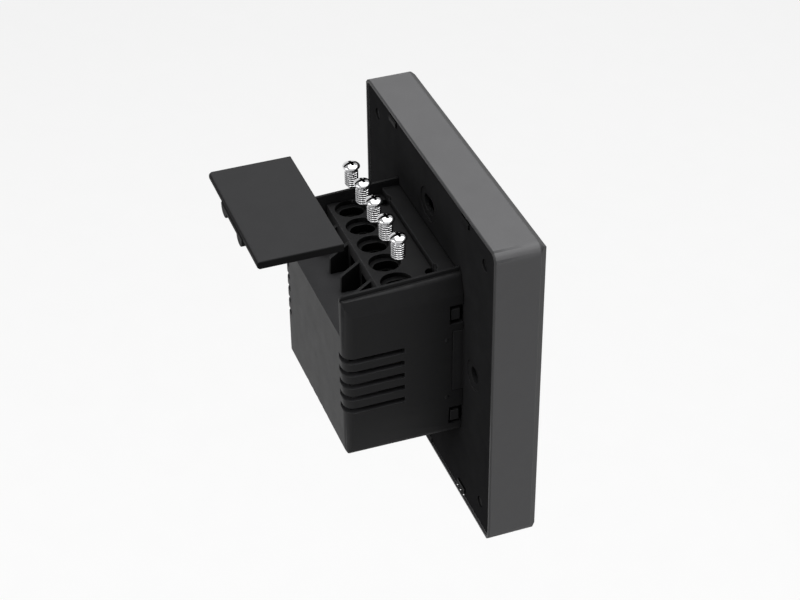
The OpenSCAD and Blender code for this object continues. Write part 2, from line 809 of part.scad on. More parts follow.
// Terminal block: deck with wells, chambers for the clamps and partitions between the wires
module terminal_block() color("#303032") {
    difference() {
        union() {
            span([-block_half, block_half], [y_block, deck_y], [block_low, deck_z]);
            for (k = [1:terminals - 1]) fin((terminal_x(k) + terminal_x(k + 1)) / 2);
        }
        for (k = [1:terminals]) terminal_cuts(terminal_x(k));
        for (x = [-1, 1]) rod_z(x * dimple_x, dimple_y, dimple_r, well_floor, deck_z + cut);
    }
}

// Partition with a sloping top between two wires
module fin(x) {
    from_side(concat([[fin_top_y, shelf_z + slip], [fin_y, shelf_z + slip]],
        arc(fin_y - 0.9, fin_low, 0.9, 0, 50, 3), [[fin_top_y, deck_z]]), x - fin_t / 2, x + fin_t / 2);
}

// Everything that is cut from the block at one terminal
module terminal_cuts(x) {
    slot_y(x, well_y, well_r, well_len, well_floor, deck_z + cut);
    slot_y(x, screw_y + 0.2, slot_w / 2, slot_len_y, chamber_top - cut, well_floor + cut);
    span([x - chamber_half, x + chamber_half], [chamber_y0, chamber_y1], [shelf_z, chamber_top]);
    span([x - entry_half, x + entry_half], [chamber_y1 - cut, deck_y + cut], [entry_low, entry_top]);
    span([x - relief_half, x + relief_half], [y_block - cut, chamber_y0 - 1.3], [shelf_z, chamber_top]);
    span([x - contact_half - slip, x + contact_half + slip], [y_block, chamber_y0 + cut],
        [contact_z - slip, contact_z + contact_t + slip]);
}

// Terminal screw with a round-top head, a combined recess and a ribbed thread
module terminal_screw(k) color("#d9dadc") translate([terminal_x(k), screw_y, head_top]) difference() {
    rotate_extrude() polygon(concat([[0, 0]], arc(0, -head_r * 1.6, head_r * 1.6, 90, 58, 4),
        [[head_r, -head_h * 0.42], [head_r - 0.1, -head_h * 0.62], [neck_r + 0.15, -head_h],
        [neck_r, -head_h - 0.1], [neck_r, -head_h - neck_len]],
        [for (i = [0:ceil((screw_len - head_h - neck_len - 0.5) / thread_pitch) - 1], j = [0, 1])
            [j == 0 ? core_r : thread_r, -head_h - neck_len - (i + j * 0.5) * thread_pitch]],
        [[core_r, -screw_len + 0.3], [core_r - 0.35, -screw_len], [0, -screw_len]]));
    rotate([0, 0, slot_turn]) {
        span([-0.3, 0.3], [-1.35, 1.35], [-recess_deep - 0.3, cut]);
        span([-1.35, 1.35], [-0.3, 0.3], [-recess_deep - 0.3, cut]);
        span([-head_r - cut, head_r + cut], [-0.35, 0.35], [-recess_deep, cut]);
    }
}

// Clamp cage with a bore for the screw
module terminal_clamp(k) color("#c8b06a") translate([terminal_x(k), screw_y, 0]) difference() {
    span([-clamp_half, clamp_half], [-clamp_y, clamp_y], [clamp_low, clamp_top]);
    span([-clamp_half + clamp_wall, clamp_half - clamp_wall], [-clamp_y - cut, clamp_y + cut],
        [clamp_low + clamp_wall, clamp_top - clamp_wall]);
    rod_z(0, 0, thread_r + run_gap, clamp_top - clamp_wall - cut, clamp_top + cut);
}

// Contact bar from the clamp to the power board
module terminal_contact(k) color("#b87333") translate([terminal_x(k), 0, 0])
    span([-contact_half, contact_half], [contact_front, screw_y + clamp_y - contact_short],
        [contact_z, contact_z + contact_t]);

// Terminal cover, drawn lifted off and behind the bay
module terminal_cover() color("#2d2d2f") {
    outline = concat([[cover_y, cover_low], [cover_back - 0.5, cover_low], [cover_back, cover_low + 0.5]],
        arc(cover_back - cover_r, cover_top - cover_r, cover_r, 0, 90), [[cover_y, cover_top]]);
    from_side(outline, -cover_half, cover_half);
    span([-tab_at, tab_at], [cover_back - tab_t, cover_back + tab_proud],
        [cover_low - tab_web, cover_low + tab_root]);
    for (x = [-tab_at, tab_at]) translate([x, 0, 0]) rear_tab();
    for (x = [-dimple_x, dimple_x])
        rod_z(x, cover_y + peg_in, peg_r, cover_low - peg_drop, cover_low + tab_web);
}

// Rounded tab under the rear edge of the cover
module rear_tab() {
    h = tab_w / 2;
    r = min(tab_r, h, tab_drop + tab_root);
    from_front(concat([[h, cover_low + tab_root]], arc(h - r, cover_low - tab_drop + r, r, 0, -90),
        arc(-h + r, cover_low - tab_drop + r, r, -90, -180), [[-h, cover_low + tab_root]]),
        cover_back - tab_t, cover_back + tab_proud);
}

// Power board with holes for the contacts and the two screws
module power_board() color("#2f6b3c") difference() {
    span([-pcb_half, pcb_half], [pcb_y, pcb_back], [pcb_low, pcb_top]);
    for (k = [1:terminals]) translate([terminal_x(k), 0, 0])
        span([-contact_half - slip, contact_half + slip], [pcb_y - cut, pcb_back + cut],
            [contact_z - slip, contact_z + contact_t + slip]);
    for (x = [-1, 1]) rod_y(x * post_x, post_z, small_shank_r + screw_hole_gap, pcb_y - cut, pcb_back + cut);
}

// Screws that hold the power board on its posts, pointing to the rear
module power_board_screws() color("silver") for (x = [-1, 1]) {
    rod_y(x * post_x, post_z, small_head_r, pcb_y - small_head_h, pcb_y);
    rod_y(x * post_x, post_z, small_shank_r, pcb_y, pcb_back + small_screw_len);
}

// Insulating cover over the front of the base
module base_cover() color("#1b1b1d") difference() {
    span([-lid_half + fit, lid_half - fit], [y_plate, y_plate + lid_t], [lid_low + fit, lid_top - fit]);
    span([-header_w / 2 - 0.4, header_w / 2 + 0.4], [y_plate - cut, y_plate + lid_t + cut],
        [connector_z - header_t / 2 - 0.4, connector_z + header_t / 2 + 0.4]);
}

// Pin header on the front of the power board
module base_header() color("#141414") difference() {
    span([-header_w / 2, header_w / 2], [y_header, pcb_y],
        [connector_z - header_t / 2, connector_z + header_t / 2]);
    each_pin() span([-pin_side / 2, pin_side / 2], [y_header - cut, pcb_y + cut],
        [-pin_side / 2, pin_side / 2]);
}

// Pins of the header
module header_pins() color("#d4af37") each_pin()
    span([-pin_side / 2, pin_side / 2], [y_pin_tip, pcb_y], [-pin_side / 2, pin_side / 2]);

// Sealed relay
module relay(k) color("#2f6fb0") translate([(k - 2) * relay_pitch, 0, 0])
    span([-relay_w / 2, relay_w / 2], [pcb_back, pcb_back + relay_h], [relay_low, relay_top]);

// Ferrite core: two side legs, a middle leg and two yokes
module transformer_core() color("#3a3a3c") translate([core_x, core_y, core_z]) {
    difference() {
        span([-core_w / 2, core_w / 2], [0, core_h], [-core_half, core_half]);
        span([-core_w / 2 + core_leg, core_w / 2 - core_leg], [core_leg, core_h - core_leg],
            [-core_half - cut, core_half + cut]);
    }
    rod_y(0, 0, leg_r, core_leg - root, core_h - core_leg + root);
}

// Winding on its bobbin, round the middle leg
module transformer_coil() color("#c9a227") translate([core_x, core_y, core_z]) difference() {
    union() {
        intersection() {
            rod_y(0, 0, coil_r, core_leg, core_h - core_leg);
            span([-coil_half, coil_half], [0, core_h], [-coil_r, coil_r]);
        }
        for (x = [-coil_pin_x, coil_pin_x], z = [-1, 1])
            rod_y(x, z * (coil_r - leg_r), coil_pin_r, pcb_back - core_y, core_leg + 0.2);
    }
    rod_y(0, 0, leg_r + slip, core_leg - cut, core_h);
}

// Round capacitor standing on the board
module capacitor(x, z, r, h) {
    difference() {
        rod_y(x, z, r, pcb_back, pcb_back + h);
        for (a = [0, 90]) translate([x, pcb_back + h, z]) rotate([0, a, 0])
            span([-vent_cut_t / 2, vent_cut_t / 2], [-vent_cut_deep, cut], [-r * 0.7, r * 0.7]);
    }
}
module bulk_capacitor() color("#20242c") capacitor(bulk_x, bulk_z, bulk_r, bulk_h);
module output_capacitor() color("#20242c") capacitor(bulk_x, output_z, output_r, output_h);

// Ring core of the filter choke, lying on the board
module filter_choke() color("#8a4b2a") translate([choke_x, pcb_back + choke_wire_r + choke_lift, choke_z])
    rotate([90, 0, 0]) rotate_extrude() translate([choke_ring_r, 0]) circle(r = choke_wire_r);

// Fuse body lying on the board
module fuse() color("#7a3b2e") translate([fuse_x, pcb_back + fuse_r, output_z]) rotate([0, 90, 0])
    cylinder(r = fuse_r, h = fuse_len);

// Disc varistor standing on edge
module varistor() color("#2c5aa0") translate([varistor_x, pcb_back + varistor_r, varistor_z])
    rotate([0, 90, 0]) cylinder(r = varistor_r, h = varistor_t);

front_frame();
cover_glass();
glass_tape();
display_cell();
backlight();
mid_chassis();
chassis_screws();
main_board();
board_screws();
shield_can();
wireless_module();
loudspeaker();
microphone();
display_flex();
flex_connector();
board_socket();
back_plate();
rear_housing();
terminal_block();
terminal_cover();
for (k = [1:terminals]) {
    terminal_screw(k);
    terminal_clamp(k);
    terminal_contact(k);
}
power_board();
power_board_screws();
base_cover();
base_header();
header_pins();
for (k = [1:3]) relay(k);
transformer_core();
transformer_coil();
bulk_capacitor();
output_capacitor();
filter_choke();
fuse();
varistor();
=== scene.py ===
"""Looks of the wall touch panel: camera, light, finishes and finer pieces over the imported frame."""

import json
import math

import bmesh
import bpy
from mathutils import Matrix, Vector
from mathutils.bvhtree import BVHTree


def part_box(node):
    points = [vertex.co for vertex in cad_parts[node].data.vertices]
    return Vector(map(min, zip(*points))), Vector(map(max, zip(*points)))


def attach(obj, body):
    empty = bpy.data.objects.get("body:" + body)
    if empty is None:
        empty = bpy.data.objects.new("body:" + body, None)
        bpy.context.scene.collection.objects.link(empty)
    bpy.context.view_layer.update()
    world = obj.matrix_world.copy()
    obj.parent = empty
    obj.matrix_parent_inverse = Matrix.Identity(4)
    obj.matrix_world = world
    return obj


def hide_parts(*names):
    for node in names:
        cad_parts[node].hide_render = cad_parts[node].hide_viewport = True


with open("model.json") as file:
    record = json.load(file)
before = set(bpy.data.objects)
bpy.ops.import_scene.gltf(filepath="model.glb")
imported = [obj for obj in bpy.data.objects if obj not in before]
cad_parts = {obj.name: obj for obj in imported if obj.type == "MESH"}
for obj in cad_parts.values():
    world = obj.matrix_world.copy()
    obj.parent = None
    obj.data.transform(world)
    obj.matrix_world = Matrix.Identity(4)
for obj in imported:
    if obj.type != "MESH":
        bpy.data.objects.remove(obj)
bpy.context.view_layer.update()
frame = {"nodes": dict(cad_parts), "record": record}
node_slots = {name: node.data.materials[0].name for name, node in frame["nodes"].items()}

MM = 0.001
WHITE = 0.94

# Camera, found from the edges of the object in the photograph
CAMERA_AT = Vector((-356.13, 135.615, 280.719)) * MM
CAMERA_LOOK = Vector((0.75877, -0.274774, -0.590565))
CAMERA_ROLL = math.radians(0.627)
LENS = 85.13
SENSOR = 36
SHIFT_X = -0.00125
CLIP = (0.01, 50)

# Floor, world and lamps. The world shows white in gloss near the horizon and fades to CEILING above.
FLOOR_Z = -0.30
FLOOR_HALF = 6.0
FLOOR_COLOUR = 0.30
FLOOR_GLOW = 0.71
WORLD_FILL = 0.16
FLOOR_SPECKLE = 60
CEILING = 0.45
CEILING_FADE = (0.12, 0.55)
KEY = dict(at=(-0.05, -0.20, 1.0), size=1.2, power=13.0)
SOFT_FILL = dict(at=(-0.15, 1.10, 0.42), size=0.7, power=6.5)


def add_camera():
    """The camera of the photograph."""
    data = bpy.data.cameras.new("camera")
    data.lens, data.sensor_width, data.shift_x = LENS, SENSOR, SHIFT_X
    data.clip_start, data.clip_end = CLIP
    camera = bpy.data.objects.new("camera", data)
    look = CAMERA_LOOK.normalized()
    side = look.cross(Vector((0, 0, 1))).normalized()
    up = side.cross(look) * math.cos(CAMERA_ROLL) + side * math.sin(CAMERA_ROLL)
    right = look.cross(up)
    turn = Matrix((right, up, -look)).transposed().to_4x4()
    camera.matrix_world = Matrix.Translation(CAMERA_AT) @ turn
    bpy.context.scene.collection.objects.link(camera)
    bpy.context.scene.camera = camera


class Graph:
    """A node graph under construction: add a node, set its inputs, link to its outputs."""

    def __init__(self, tree):
        self.tree = tree
        tree.nodes.clear()

    def add(self, kind, inputs=(), **settings):
        node = self.tree.nodes.new(kind)
        for key, value in settings.items():
            setattr(node, key, value)
        for key, value in dict(inputs).items():
            if isinstance(value, bpy.types.NodeSocket):
                self.tree.links.new(value, node.inputs[key])
            else:
                node.inputs[key].default_value = value
        return node

    def math(self, operation, a, b=0.0):
        return self.add("ShaderNodeMath", {0: a, 1: b}, operation=operation).outputs[0]

    def noise(self, where, scale, detail=2.0, rough=0.5):
        node = self.add("ShaderNodeTexNoise", {"Vector": where, "Scale": scale, "Detail": detail,
                                               "Roughness": rough})
        return node.outputs["Fac"]

    def remap(self, value, low, high, to_low, to_high):
        return self.add("ShaderNodeMapRange", {"Value": value, "From Min": low, "From Max": high,
                                               "To Min": to_low, "To Max": to_high}).outputs[0]

    def times(self, colour, factor):
        grey = self.add("ShaderNodeCombineColor", {0: factor, 1: factor, 2: factor}).outputs[0]
        return self.mix(1.0, colour, grey, "MULTIPLY")

    def mix(self, factor, a, b, blend="MIX"):
        node = self.add("ShaderNodeMix", data_type="RGBA", blend_type=blend)
        for key, value in ((0, factor), (6, a), (7, b)):
            if isinstance(value, bpy.types.NodeSocket):
                self.tree.links.new(value, node.inputs[key])
            else:
                node.inputs[key].default_value = value
        return node.outputs[2]


def rgba(colour, factor=1.0):
    return tuple(min(1.0, c * factor) for c in colour) + (1.0,)


def seen_directly(graph, paths):
    """1 for a ray from the camera or one that shows in gloss or through glass, 0 for diffuse light."""
    seen = paths.outputs["Is Camera Ray"]
    for name in ("Is Glossy Ray", "Is Transmission Ray"):
        seen = graph.math("MAXIMUM", seen, paths.outputs[name])
    return seen


def add_world():
    world = bpy.data.worlds.new("world")
    bpy.context.scene.world = world
    world.use_nodes = True
    graph = Graph(world.node_tree)
    paths = graph.add("ShaderNodeLightPath")
    output = graph.add("ShaderNodeOutputWorld")
    seen = seen_directly(graph, paths)
    height = graph.add("ShaderNodeSeparateXYZ", {0: graph.add("ShaderNodeTexCoord").outputs["Generated"]})
    ceiling = graph.remap(height.outputs["Z"], *CEILING_FADE, WHITE, CEILING)
    backdrop = graph.math("MAXIMUM", ceiling, graph.math("MULTIPLY", paths.outputs["Is Camera Ray"], WHITE))
    fill = graph.add("ShaderNodeBackground", {"Color": (1, 1, 1, 1), "Strength": WORLD_FILL})
    white = graph.add("ShaderNodeBackground", {"Color": (1, 1, 1, 1), "Strength": backdrop})
    both = graph.add("ShaderNodeMixShader", {0: seen, 1: fill.outputs[0], 2: white.outputs[0]})
    graph.tree.links.new(both.outputs[0], output.inputs["Surface"])


def add_floor():
    """Pale floor well below the object, which the photograph shows without anything under it."""
    mesh = bpy.data.meshes.new("floor")
    h = FLOOR_HALF
    corners = [(-h, -h, FLOOR_Z), (h, -h, FLOOR_Z), (h, h, FLOOR_Z), (-h, h, FLOOR_Z)]
    mesh.from_pydata(corners, [], [(0, 1, 2, 3)])
    floor = bpy.data.objects.new("floor", mesh)
    bpy.context.scene.collection.objects.link(floor)
    material = bpy.data.materials.new("floor")
    material.use_nodes = True
    graph = Graph(material.node_tree)
    paths = graph.add("ShaderNodeLightPath")
    output = graph.add("ShaderNodeOutputMaterial")
    seen = seen_directly(graph, paths)
    where = graph.add("ShaderNodeTexCoord").outputs["Object"]
    speckle = graph.remap(graph.noise(where, FLOOR_SPECKLE, 3), 0.3, 0.7, 0.97, 1.0)
    colour = graph.mix(1.0, rgba((FLOOR_COLOUR,) * 3), speckle, "MULTIPLY")
    matte = graph.add("ShaderNodeBsdfDiffuse", {"Color": colour})
    glow = graph.add("ShaderNodeEmission", {"Color": (1, 1, 1, 1), "Strength": FLOOR_GLOW})
    lifted = graph.add("ShaderNodeAddShader", {0: matte.outputs[0], 1: glow.outputs[0]})
    both = graph.add("ShaderNodeMixShader", {0: seen, 1: matte.outputs[0], 2: lifted.outputs[0]})
    graph.tree.links.new(both.outputs[0], output.inputs["Surface"])
    mesh.materials.append(material)


def add_lamp(name, at, size, power, aim=(0, 0, 0)):
    """A soft square lamp, in metres and watts."""
    data = bpy.data.lights.new(name, "AREA")
    data.shape, data.size, data.energy = "SQUARE", size, power
    lamp = bpy.data.objects.new(name, data)
    at = Vector(at)
    turn = (Vector(aim) - at).to_track_quat("-Z", "Y").to_matrix().to_4x4()
    lamp.matrix_world = Matrix.Translation(at) @ turn
    bpy.context.scene.collection.objects.link(lamp)


# Finishes: base colour, roughness, then what differs from a plain moulded plastic.
# grain: scale and depth in mm. edge: painted highlight on edges, or painted shade on them below 0. cavity:
# reach in mm and the least tone of the painted shade in hollows and corners. zones: axis, a stretch in mm,
# and the tone before and after it. painted_top_light: a height in mm below which faces that look up get
# painted light, and by how much. painted_recess_shade: tone of the painted shade on a screw's recess faces.
# stripes: axis, scale and depth. traces: strength of a board's tracks.
FINISHES = {
    # Frame: painted shade on its edges, and the zones paint shade on the front chamfer and the rear rim
    "frame_metal": dict(colour=(0.125, 0.125, 0.128), rough=0.55, metal=0.1, gloss=0.3, grain=(5200, 0.004),
                        mottle=0.05, edge=-0.35,
                        zones=[("Y", -11.3, -10.9, 0.35, 1.0), ("Y", -0.4, -0.2, 1.0, 0.35)]),
    "panel_glass": dict(colour=(0.006, 0.006, 0.007), rough=0.045, gloss=0.5, grain=(900, 0.0004),
                        mottle=0.1, coat=1.0),
    "tape": dict(colour=(0.02, 0.02, 0.02), rough=0.9, gloss=0.2, grain=(2600, 0.03), mottle=0.3),
    "display": dict(colour=(0.010, 0.012, 0.016), rough=0.12, gloss=0.5, grain=(900, 0.001), mottle=0.1),
    "backlight": dict(colour=(0.72, 0.73, 0.74), rough=0.5, gloss=0.4, grain=(1500, 0.004), mottle=0.03),
    "dark_plastic": dict(colour=(0.006, 0.006, 0.0063), rough=0.6, gloss=0.06, grain=(3600, 0.012),
                         mottle=0.12, edge=0.3, cavity=(2.0, 0.4)),
    "steel": dict(colour=(0.55, 0.55, 0.56), rough=0.3, metal=1.0, grain=(2500, 0.004), mottle=0.08,
                  edge=0.2),
    "board": dict(colour=(0.012, 0.075, 0.035), rough=0.42, gloss=0.4, grain=(1600, 0.006), mottle=0.15,
                  traces=0.5),
    "tin_can": dict(colour=(0.58, 0.58, 0.59), rough=0.34, metal=1.0, grain=(1500, 0.006), mottle=0.08,
                    brushed=True),
    "brass_parts": dict(colour=(0.72, 0.52, 0.22), rough=0.26, metal=1.0, grain=(2500, 0.003), mottle=0.06),
    "flex": dict(colour=(0.42, 0.17, 0.04), rough=0.38, gloss=0.4, grain=(1500, 0.003), mottle=0.06,
                 stripes=("X", 1600, 0.6)),
    "pale_plastic": dict(colour=(0.70, 0.66, 0.55), rough=0.5, gloss=0.4, grain=(3000, 0.006), mottle=0.05),
    "plate_plastic": dict(colour=(0.0195, 0.0195, 0.0202), rough=0.80, gloss=0.0, grain=(3800, 0.014),
                          mottle=0.12, edge=1.0, cavity=(1.5, 0.5), zones=[("Y", -0.45, -0.35, 1.0, 1.9)]),
    # Housing: painted light on the low shelf and other faces that look up below 14 mm
    "housing_plastic": dict(colour=(0.0150, 0.0150, 0.0157), rough=0.50, gloss=0.13, grain=(3400, 0.014),
                            mottle=0.10, edge=0.6, cavity=(1.6, 0.5), painted_top_light=(14.0, 2.7)),
    "block_plastic": dict(colour=(0.0215, 0.0215, 0.0222), rough=0.55, gloss=0.10, grain=(3400, 0.014),
                          mottle=0.10, edge=2.2, cavity=(10.0, 0.03)),
    # Cover: painted shade on its edges, and the zone paints shade on the side faces below its top
    "cover_plastic": dict(colour=(0.0405, 0.0405, 0.0417), rough=0.58, gloss=0.05, grain=(3400, 0.012),
                          mottle=0.05, edge=-0.3, zones=[("Z", 38.1, 38.35, 0.2, 1.0)]),
    "screw_chrome": dict(colour=(0.74, 0.74, 0.75), rough=0.10, metal=1.0, grain=(1800, 0.0015), mottle=0.04,
                         cavity=(0.5, 0.03), painted_recess_shade=0.04),
    "clamp_metal": dict(colour=(0.22, 0.22, 0.21), rough=0.4, metal=1.0, grain=(1800, 0.005), mottle=0.08,
                        brushed=True, cavity=(6.0, 0.02)),
    "copper": dict(colour=(0.25, 0.12, 0.07), rough=0.5, metal=1.0, grain=(1800, 0.005), mottle=0.15,
                   brushed=True, cavity=(6.0, 0.01)),
    "relay_case": dict(colour=(0.010, 0.010, 0.011), rough=0.45, gloss=0.3, grain=(2400, 0.006), mottle=0.05,
                       edge=0.3),
    "ferrite": dict(colour=(0.03, 0.03, 0.032), rough=0.65, gloss=0.3, grain=(2000, 0.03), mottle=0.3,
                    edge=0.6),
    "coil_tape": dict(colour=(0.62, 0.42, 0.05), rough=0.4, gloss=0.4, grain=(1200, 0.004), mottle=0.08,
                      stripes=("Y", 700, 0.2)),
    "capacitor_sleeve": dict(colour=(0.012, 0.014, 0.02), rough=0.32, gloss=0.4, grain=(1500, 0.004),
                             mottle=0.1, edge=0.3),
    "fuse_case": dict(colour=(0.16, 0.04, 0.025), rough=0.5, gloss=0.35, grain=(2200, 0.008), mottle=0.12),
    "varistor_case": dict(colour=(0.02, 0.02, 0.022), rough=0.5, gloss=0.3, grain=(900, 0.02), mottle=0.1),
}
# Painted highlight on edges, and painted shade on them where edge is below 0: mask reach, lift, and scale of
# the noise that breaks it up
EDGE_REACH = 0.22 * MM
EDGE_LIFT = 0.004
PAINTED_EDGE_SCALE = 420
MOTTLE_SCALE = 170
BRUSH_STRETCH = (1.0, 1.0, 0.04)
STRIPE_TONE = 0.45
TRACE_SCALE = 420.0
TRACE_GAP = 0.06
TRACE_TONE = 1.9
FACING_UP = (0.8, 0.97)
PAINTED_TOP_FADE = 0.5
OPEN_SKY = (0.35, 0.95)
ROUGH_SPREAD = 0.08
GRAIN_STRENGTH = 0.6
RECESS = "recess"


def edge_mask(graph, reach):
    """Near 1 beside a sharp outer or inner edge, 0 on the faces."""
    soft = graph.add("ShaderNodeBevel", {"Radius": reach}, samples=4).outputs[0]
    flat = graph.add("ShaderNodeNewGeometry").outputs["True Normal"]
    same = graph.add("ShaderNodeVectorMath", {0: soft, 1: flat}, operation="DOT_PRODUCT").outputs["Value"]
    return graph.remap(same, 1.0, 0.86, 0.0, 1.0)


def add_finish(name, colour, rough, metal=0.0, gloss=0.5, grain=(3000, 0.01), mottle=0.1, edge=0.0,
               coat=0.0, brushed=False, stripes=None, traces=0.0, cavity=None, zones=(), painted_top_light=None,
               painted_recess_shade=None):
    """A procedural material: mottled colour, uneven roughness, fine grain, and painted highlights and
    painted shade on edges, in hollows and on chosen faces.
    """
    material = bpy.data.materials.new(name + "_finish")
    material.use_nodes = True
    graph = Graph(material.node_tree)
    where = graph.add("ShaderNodeTexCoord").outputs["Object"]
    if brushed:
        along = graph.add("ShaderNodeMapping", {"Vector": where, "Scale": BRUSH_STRETCH}).outputs[0]
    else:
        along = where
    cloud = graph.noise(where, MOTTLE_SCALE, 4, 0.6)
    fine = graph.noise(along, grain[0], 3, 0.6)
    tone = graph.mix(graph.remap(cloud, 0.3, 0.7, 0.0, 1.0),
                     rgba(colour, 1 - mottle), rgba(colour, 1 + mottle))
    tone = graph.mix(graph.remap(fine, 0.35, 0.65, 0.0, 0.35), tone, rgba(colour, 1 - 2 * mottle))
    if stripes:
        axis, scale, depth = stripes
        wave = graph.add("ShaderNodeTexWave", {"Vector": where, "Scale": scale, "Distortion": 0.0},
                         bands_direction=axis).outputs["Fac"]
        tone = graph.mix(graph.math("MULTIPLY", wave, depth), tone, rgba(colour, STRIPE_TONE))
    if traces:
        cells = graph.add("ShaderNodeTexBrick", {
            "Vector": where, "Scale": TRACE_SCALE, "Mortar Size": TRACE_GAP,
            "Color1": (1, 1, 1, 1), "Color2": (1, 1, 1, 1), "Mortar": (0, 0, 0, 1)})
        tone = graph.mix(graph.math("MULTIPLY", cells.outputs["Fac"], traces), tone,
                         rgba(colour, TRACE_TONE))
    # Painted highlight on edges, or painted shade on them where edge is below 0, broken up by noise
    if edge:
        painted_edge = graph.math("MULTIPLY", edge_mask(graph, EDGE_REACH),
                          graph.remap(graph.noise(where, PAINTED_EDGE_SCALE, 3, 0.6), 0.35, 0.65, 0.35, 1.0))
        lift = EDGE_LIFT if edge > 0 else 0.0
        tone = graph.mix(painted_edge, tone, rgba(tuple(c + lift for c in colour), 1 + edge))
    # Painted light on faces that look up below a given height, lighter by the given factor
    if painted_top_light:
        below, factor = painted_top_light
        normal = graph.add("ShaderNodeNewGeometry").outputs["Normal"]
        facing = graph.add("ShaderNodeSeparateXYZ", {0: normal})
        height = graph.add("ShaderNodeSeparateXYZ", {0: where}).outputs["Z"]
        factor = graph.remap(height, below * MM, (below + PAINTED_TOP_FADE) * MM, factor, 1.0)
        upward = graph.remap(facing.outputs["Z"], *FACING_UP, 0.0, 1.0)
        tone = graph.mix(upward, tone, graph.times(tone, factor))
    # Painted shade on the faces of a screw's recess
    if painted_recess_shade:
        mark = graph.add("ShaderNodeAttribute", attribute_name=RECESS).outputs["Fac"]
        tone = graph.times(tone, graph.remap(mark, 0.0, 1.0, 1.0, painted_recess_shade))
    # Tone by place along an axis; on the frame and the cover it is painted shade on chamfers, rims and side
    # faces
    for axis, low, high, before, after in zones:
        place = graph.add("ShaderNodeSeparateXYZ", {0: where}).outputs[axis]
        tone = graph.times(tone, graph.remap(place, low * MM, high * MM, before, after))
    # Painted shade in hollows and corners from ambient occlusion: little open sky gives a darker tone
    if cavity:
        reach, least = cavity
        open_sky = graph.add("ShaderNodeAmbientOcclusion", {"Distance": reach * MM}, samples=8).outputs["AO"]
        tone = graph.times(tone, graph.remap(open_sky, *OPEN_SKY, least, 1.0))
    shader = graph.add("ShaderNodeBsdfPrincipled", {
        "Base Color": tone, "Metallic": metal, "Specular IOR Level": gloss, "Coat Weight": coat})
    uneven = graph.math("MULTIPLY_ADD", cloud, 2 * ROUGH_SPREAD)
    uneven.node.inputs[2].default_value = rough - ROUGH_SPREAD
    graph.tree.links.new(uneven, shader.inputs["Roughness"])
    bump = graph.add("ShaderNodeBump", {"Height": fine, "Strength": GRAIN_STRENGTH,
                                        "Distance": grain[1] * MM})
    graph.tree.links.new(bump.outputs[0], shader.inputs["Normal"])
    output = graph.add("ShaderNodeOutputMaterial")
    graph.tree.links.new(shader.outputs[0], output.inputs["Surface"])
    return material


materials = {name: add_finish(name, **finish) for name, finish in FINISHES.items()}


def dress(piece, slot):
    """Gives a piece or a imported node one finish."""
    piece.data.materials.clear()
    piece.data.materials.append(materials[slot])


# Softened copies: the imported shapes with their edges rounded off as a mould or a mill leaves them, in mm
SOFTENED = {
    "front_frame": 0.10, "cover_glass": 0.12, "back_plate": 0.10, "rear_housing": 0.16,
    "terminal_block": 0.12, "terminal_cover": 0.14,
}
BEVEL_STEPS = 3
SHARP = math.radians(28)
SMOOTH_BELOW = math.radians(40)
SAME_PLANE = math.radians(0.6)
WELD = 0.002 * MM
ROUNDING_TRIES = 6
KEEP_SHARP_WITHIN = 2.5
FACE_WEIGHT = 50


def plain_mesh(node):
    """The node's mesh with its points welded and its flat faces made whole again."""
    made = bmesh.new()
    made.from_mesh(frame["nodes"][node].data)
    bmesh.ops.remove_doubles(made, verts=made.verts, dist=WELD)
    bmesh.ops.dissolve_limit(made, angle_limit=SAME_PLANE, verts=made.verts, edges=made.edges)
    return made


def crossings(made):
    """Places where two faces that share no point cut through each other."""
    tree = BVHTree.FromBMesh(made)
    made.faces.ensure_lookup_table()
    places = []
    for a, b in tree.overlap(tree):
        if a < b and not set(made.faces[a].verts) & set(made.faces[b].verts):
            places.append(made.faces[a].calc_center_median())
            places.append(made.faces[b].calc_center_median())
    return places


def near_edge(edge, places, reach):
    """Whether an edge runs past one of the places."""
    a, b = edge.verts[0].co, edge.verts[1].co
    along = b - a
    for p in places:
        t = max(0.0, min(1.0, (p - a).dot(along) / max(along.length_squared, 1e-12)))
        if (a + along * t - p).length < reach:
            return True
    return False


def rounded(node, width, places):
    """The node's mesh with its sharp edges rounded, apart from those near the places."""
    made = plain_mesh(node)
    edges = [e for e in made.edges if len(e.link_faces) == 2 and e.calc_face_angle(0) > SHARP
             and not near_edge(e, places, KEEP_SHARP_WITHIN * width * MM)]
    bmesh.ops.bevel(made, geom=edges, offset=width * MM, segments=BEVEL_STEPS, profile=0.5,
                    affect="EDGES", clamp_overlap=False)
    return made


def softened(node, width):
    """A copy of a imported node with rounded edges. Edges too close together to round stay sharp."""
    places = []
    for _ in range(ROUNDING_TRIES):
        made = rounded(node, width, places)
        found = crossings(made)
        if not found:
            break
        places += found
    bmesh.ops.remove_doubles(made, verts=made.verts, dist=WELD / 4)
    mesh = bpy.data.meshes.new(node + "_fine")
    made.to_mesh(mesh)
    made.free()
    piece = bpy.data.objects.new(node + "_fine", mesh)
    bpy.context.scene.collection.objects.link(piece)
    mesh.polygons.foreach_set("use_smooth", [True] * len(mesh.polygons))
    mesh.set_sharp_from_angle(angle=SMOOTH_BELOW)
    weigh = piece.modifiers.new("weigh", "WEIGHTED_NORMAL")
    weigh.keep_sharp, weigh.weight = True, FACE_WEIGHT
    return piece


def body_of_node(node):
    return next(b for b, members in frame["record"]["behaviour"]["bodies"].items() if node in members)


def add_softened():
    for node, width in SOFTENED.items():
        slot = node_slots[node]
        piece = softened(node, width)
        dress(piece, slot)
        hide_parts(node)
        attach(piece, body_of_node(node))


